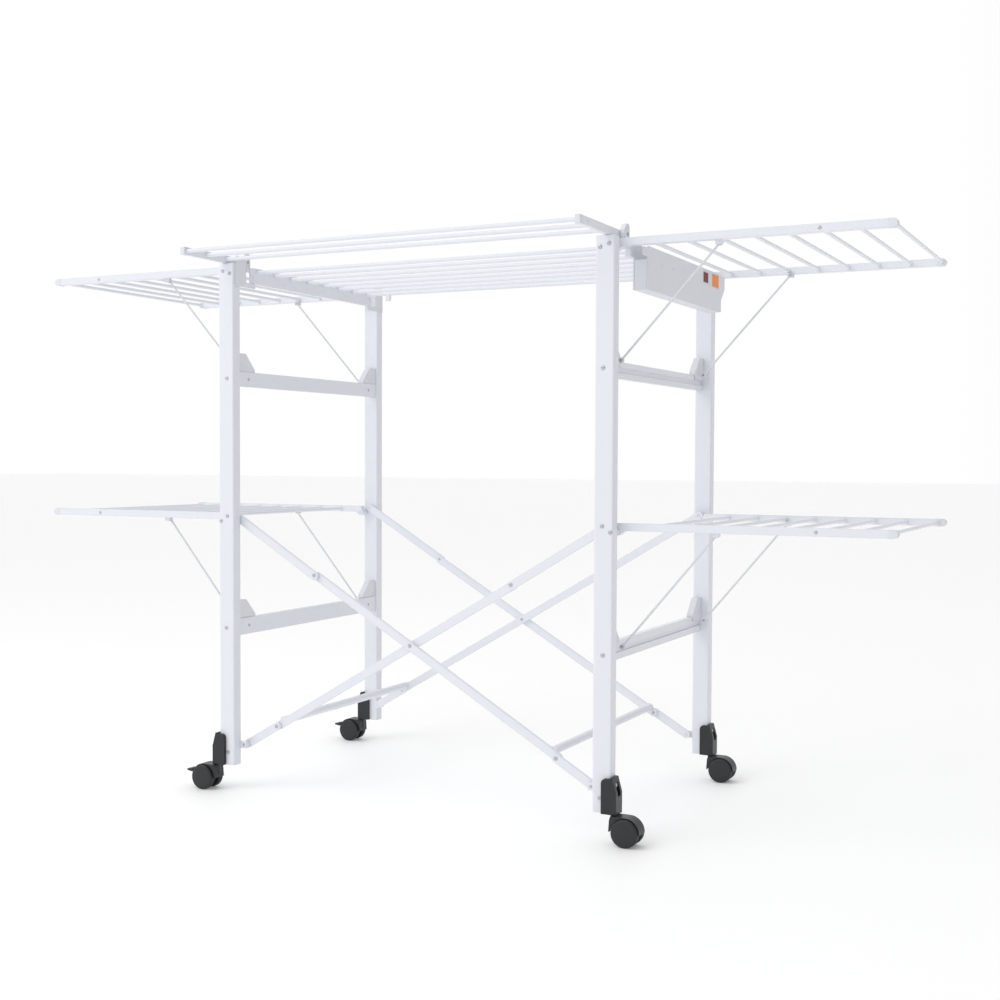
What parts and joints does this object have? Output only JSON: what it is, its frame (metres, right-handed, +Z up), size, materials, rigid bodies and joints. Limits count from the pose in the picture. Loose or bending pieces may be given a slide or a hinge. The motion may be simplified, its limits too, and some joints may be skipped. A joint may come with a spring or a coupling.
{
  "type": "clothes drying rack",
  "caption": "Folding clothes drying rack on casters, with an open rod deck, a flip-over front tray, drop-down side wings on wire struts, scissor braces and a peg box.",
  "frame": {"origin": "on the floor, under the middle of the open rack's bounding box", "axes": "+X along the rack towards the peg box, +Y from the tray side to the back, +Z up"},
  "size_m": [1.8154, 0.6984, 1.0925],
  "materials": {
    "white_post": "satin",
    "white_metal": "satin",
    "white_rail": "satin",
    "white_brace": "satin",
    "white_wire": "satin",
    "white_plastic": "satin",
    "black_plastic": "satin",
    "zinc_hardware": "satin",
    "black_rubber": "matte"
  },
  "bodies": {
    "left_end_frame": {"post_left_front": "white_post", "post_left_back": "white_post", "upper_crossrail_left": "white_rail", "lower_crossrail_left": "white_rail", "upper_seat_left_front": "white_plastic", "lower_seat_left_front": "white_plastic", "caster_socket_left_front": "black_plastic", "top_bracket_left_front": "white_plastic", "upper_seat_left_back": "white_plastic", "lower_seat_left_back": "white_plastic", "caster_socket_left_back": "black_plastic", "top_bracket_left_back": "white_plastic"},
    "right_end_frame": {"post_right_front": "white_post", "post_right_back": "white_post", "upper_crossrail_right": "white_rail", "lower_crossrail_right": "white_rail", "upper_seat_right_front": "white_plastic", "lower_seat_right_front": "white_plastic", "caster_socket_right_front": "black_plastic", "upper_seat_right_back": "white_plastic", "lower_seat_right_back": "white_plastic", "caster_socket_right_back": "black_plastic"},
    "brace_1_upper_links": {"brace_1_upper_link_front": "white_brace", "brace_1_upper_link_back": "white_brace"},
    "brace_1_middle": {"brace_1_middle_frame": "white_brace"},
    "brace_1_lower_links": {"brace_1_lower_link_front": "white_brace", "brace_1_lower_link_back": "white_brace"},
    "brace_2_upper_links": {"brace_2_upper_link_front": "white_brace", "brace_2_upper_link_back": "white_brace"},
    "brace_2_middle": {"brace_2_middle_frame": "white_brace"},
    "brace_2_lower_links": {"brace_2_lower_link_front": "white_brace", "brace_2_lower_link_back": "white_brace"},
    "deck": {"deck_frame": "white_metal"},
    "tray": {"front_tray": "white_metal"},
    "upper_left_wing": {"upper_wing_left": "white_metal"},
    "upper_left_struts": {"upper_strut_left_front": "white_wire", "upper_strut_left_back": "white_wire"},
    "upper_right_wing": {"upper_wing_right": "white_metal", "peg_box_outer_wall": "white_plastic", "peg_box_inner_wall": "white_plastic", "peg_box_base": "white_plastic"},
    "upper_right_struts": {"upper_strut_right_front": "white_wire", "upper_strut_right_back": "white_wire"},
    "lower_left_wing": {"lower_wing_left": "white_metal"},
    "lower_left_struts": {"lower_strut_left_front": "white_wire", "lower_strut_left_back": "white_wire"},
    "lower_right_wing": {"lower_wing_right": "white_metal"},
    "lower_right_struts": {"lower_strut_right_front": "white_wire", "lower_strut_right_back": "white_wire"},
    "swivel_left_front": {"caster_hood_left_front": "black_plastic"},
    "wheels_left_front": {"caster_wheels_left_front": "black_rubber"},
    "swivel_left_back": {"caster_hood_left_back": "black_plastic"},
    "wheels_left_back": {"caster_wheels_left_back": "black_rubber"},
    "swivel_right_front": {"caster_hood_right_front": "black_plastic"},
    "wheels_right_front": {"caster_wheels_right_front": "black_rubber"},
    "swivel_right_back": {"caster_hood_right_back": "black_plastic"},
    "wheels_right_back": {"caster_wheels_right_back": "black_rubber"},
    "brake_front": {"brake_lever_front": "black_plastic"},
    "brake_back": {"brake_lever_back": "black_plastic"}
  },
  "joints": [
    {"name": "frame_fold", "type": "slide", "parent": "left_end_frame", "child": "right_end_frame", "axis": [-1, 0, 0], "range_m": [0, 0.7]},
    {"name": "brace_1_top_pivot", "type": "hinge", "parent": "left_end_frame", "child": "brace_1_upper_links", "pos_m": [-0.4078, 0.06425, 0.5583], "axis": [0, -1, 0], "range_deg": [0, 112.08]},
    {"name": "brace_1_foot_pivot", "type": "hinge", "parent": "right_end_frame", "child": "brace_1_lower_links", "pos_m": [0.382, 0.06425, 0.092], "axis": [0, 1, 0], "range_deg": [0, 60.34]},
    {"name": "brace_1_low_knee", "type": "hinge", "parent": "brace_1_lower_links", "child": "brace_1_middle", "pos_m": [0.3105, 0.06425, 0.134], "axis": [0, -1, 0], "range_deg": [0, 6.04]},
    {"name": "brace_2_top_pivot", "type": "hinge", "parent": "right_end_frame", "child": "brace_2_upper_links", "pos_m": [0.4078, 0.06425, 0.5583], "axis": [0, 1, 0], "range_deg": [0, 112.08]},
    {"name": "brace_2_foot_pivot", "type": "hinge", "parent": "left_end_frame", "child": "brace_2_lower_links", "pos_m": [-0.382, 0.06425, 0.092], "axis": [0, -1, 0], "range_deg": [0, 60.34]},
    {"name": "brace_2_low_knee", "type": "hinge", "parent": "brace_2_lower_links", "child": "brace_2_middle", "pos_m": [-0.3105, 0.06425, 0.134], "axis": [0, 1, 0], "range_deg": [0, 6.04]},
    {"name": "deck_tilt", "type": "hinge", "parent": "left_end_frame", "child": "deck", "pos_m": [-0.424, 0.06425, 1.0756], "axis": [0, -1, 0], "range_deg": [0, 90.05]},
    {"name": "tray_flip", "type": "hinge", "parent": "deck", "child": "tray", "pos_m": [0, -0.15575, 1.0745], "axis": [-1, 0, 0], "range_deg": [0, 180]},
    {"name": "upper_left_wing_fold", "type": "hinge", "parent": "left_end_frame", "child": "upper_left_wing", "pos_m": [-0.4173, 0.06425, 1.0504], "axis": [0, -1, 0], "range_deg": [0, 88]},
    {"name": "upper_left_strut_pivot", "type": "hinge", "parent": "upper_left_wing", "child": "upper_left_struts", "pos_m": [-0.6, 0.06425, 1.047], "axis": [0, -1, 0], "range_deg": [-130.57, 0]},
    {"name": "upper_right_wing_fold", "type": "hinge", "parent": "right_end_frame", "child": "upper_right_wing", "pos_m": [0.4173, 0.06425, 1.0504], "axis": [0, 1, 0], "range_deg": [0, 88]},
    {"name": "upper_right_strut_pivot", "type": "hinge", "parent": "upper_right_wing", "child": "upper_right_struts", "pos_m": [0.6, 0.06425, 1.047], "axis": [0, 1, 0], "range_deg": [-130.57, 0]},
    {"name": "lower_left_wing_fold", "type": "hinge", "parent": "left_end_frame", "child": "lower_left_wing", "pos_m": [-0.4233, 0.06425, 0.5478], "axis": [0, -1, 0], "range_deg": [0, 88]},
    {"name": "lower_left_strut_pivot", "type": "hinge", "parent": "lower_left_wing", "child": "lower_left_struts", "pos_m": [-0.6, 0.06425, 0.5463], "axis": [0, -1, 0], "range_deg": [-128.25, 0]},
    {"name": "lower_right_wing_fold", "type": "hinge", "parent": "right_end_frame", "child": "lower_right_wing", "pos_m": [0.4233, 0.06425, 0.5478], "axis": [0, 1, 0], "range_deg": [0, 88]},
    {"name": "lower_right_strut_pivot", "type": "hinge", "parent": "lower_right_wing", "child": "lower_right_struts", "pos_m": [0.6, 0.06425, 0.5463], "axis": [0, 1, 0], "range_deg": [-128.25, 0]},
    {"name": "swivel_left_front", "type": "hinge", "parent": "left_end_frame", "child": "swivel_left_front", "pos_m": [-0.434, -0.22075, 0.05], "axis": [0, 0, 1], "continuous": true},
    {"name": "roll_left_front", "type": "hinge", "parent": "swivel_left_front", "child": "wheels_left_front", "pos_m": [-0.46, -0.22075, 0.025], "axis": [0, 1, 0], "continuous": true},
    {"name": "swivel_left_back", "type": "hinge", "parent": "left_end_frame", "child": "swivel_left_back", "pos_m": [-0.434, 0.32525, 0.05], "axis": [0, 0, 1], "continuous": true},
    {"name": "roll_left_back", "type": "hinge", "parent": "swivel_left_back", "child": "wheels_left_back", "pos_m": [-0.46, 0.32525, 0.025], "axis": [0, 1, 0], "continuous": true},
    {"name": "swivel_right_front", "type": "hinge", "parent": "right_end_frame", "child": "swivel_right_front", "pos_m": [0.434, -0.22075, 0.05], "axis": [0, 0, 1], "continuous": true},
    {"name": "roll_right_front", "type": "hinge", "parent": "swivel_right_front", "child": "wheels_right_front", "pos_m": [0.46, -0.22075, 0.025], "axis": [0, 1, 0], "continuous": true},
    {"name": "swivel_right_back", "type": "hinge", "parent": "right_end_frame", "child": "swivel_right_back", "pos_m": [0.434, 0.32525, 0.05], "axis": [0, 0, 1], "continuous": true},
    {"name": "roll_right_back", "type": "hinge", "parent": "swivel_right_back", "child": "wheels_right_back", "pos_m": [0.46, 0.32525, 0.025], "axis": [0, 1, 0], "continuous": true},
    {"name": "brake_front", "type": "hinge", "parent": "swivel_left_front", "child": "brake_front", "pos_m": [-0.4885, -0.22075, 0.036], "axis": [0, 1, 0], "range_deg": [0, 15]},
    {"name": "brake_back", "type": "hinge", "parent": "swivel_left_back", "child": "brake_back", "pos_m": [-0.4885, 0.32525, 0.036], "axis": [0, 1, 0], "range_deg": [0, 15]}
  ],
  "couplings": [
    {"joint": "brace_1_top_pivot", "follows": "frame_fold", "rad_per_m": 2.7933},
    {"joint": "brace_1_foot_pivot", "follows": "frame_fold", "rad_per_m": 1.5033},
    {"joint": "brace_1_low_knee", "follows": "frame_fold", "rad_per_m": 0.14928},
    {"joint": "brace_2_top_pivot", "follows": "frame_fold", "rad_per_m": 2.7933},
    {"joint": "brace_2_foot_pivot", "follows": "frame_fold", "rad_per_m": 1.5033},
    {"joint": "brace_2_low_knee", "follows": "frame_fold", "rad_per_m": 0.14928},
    {"joint": "deck_tilt", "follows": "frame_fold", "rad_per_m": 2.244},
    {"joint": "upper_left_strut_pivot", "follows": "upper_left_wing_fold", "ratio": -1.4831},
    {"joint": "upper_right_strut_pivot", "follows": "upper_right_wing_fold", "ratio": -1.4831},
    {"joint": "lower_left_strut_pivot", "follows": "lower_left_wing_fold", "ratio": -1.4568},
    {"joint": "lower_right_strut_pivot", "follows": "lower_right_wing_fold", "ratio": -1.4568}
  ]
}
